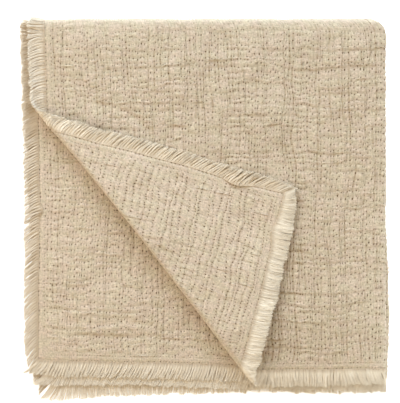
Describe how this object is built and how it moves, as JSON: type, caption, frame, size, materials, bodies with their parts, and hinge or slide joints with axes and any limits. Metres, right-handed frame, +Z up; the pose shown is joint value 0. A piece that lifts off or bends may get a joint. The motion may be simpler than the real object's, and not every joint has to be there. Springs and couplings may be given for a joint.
{
  "type": "folded fringed throw blanket",
  "caption": "Folded throw blanket of crinkled double-woven cotton with a frayed fringe and one corner turned back, lying flat on a surface.",
  "frame": {"origin": "middle of the flat underside of the folded throw, fringe included", "axes": "+Z up through the layers, +Y towards the fold at the back, +X towards the fold at the right side"},
  "size_m": [0.6712, 0.6862, 0.0364],
  "materials": {
    "cotton_cloth": "matt crinkled double weave, natural beige",
    "cotton_fringe": "matt frayed cotton yarn, natural beige"
  },
  "bodies": {
    "root": {"throw_cloth": "cotton_cloth", "fringe_left_outer": "cotton_fringe", "fringe_left_inner": "cotton_fringe", "fringe_front_upper": "cotton_fringe", "fringe_front_lower": "cotton_fringe"}
  },
  "joints": []
}
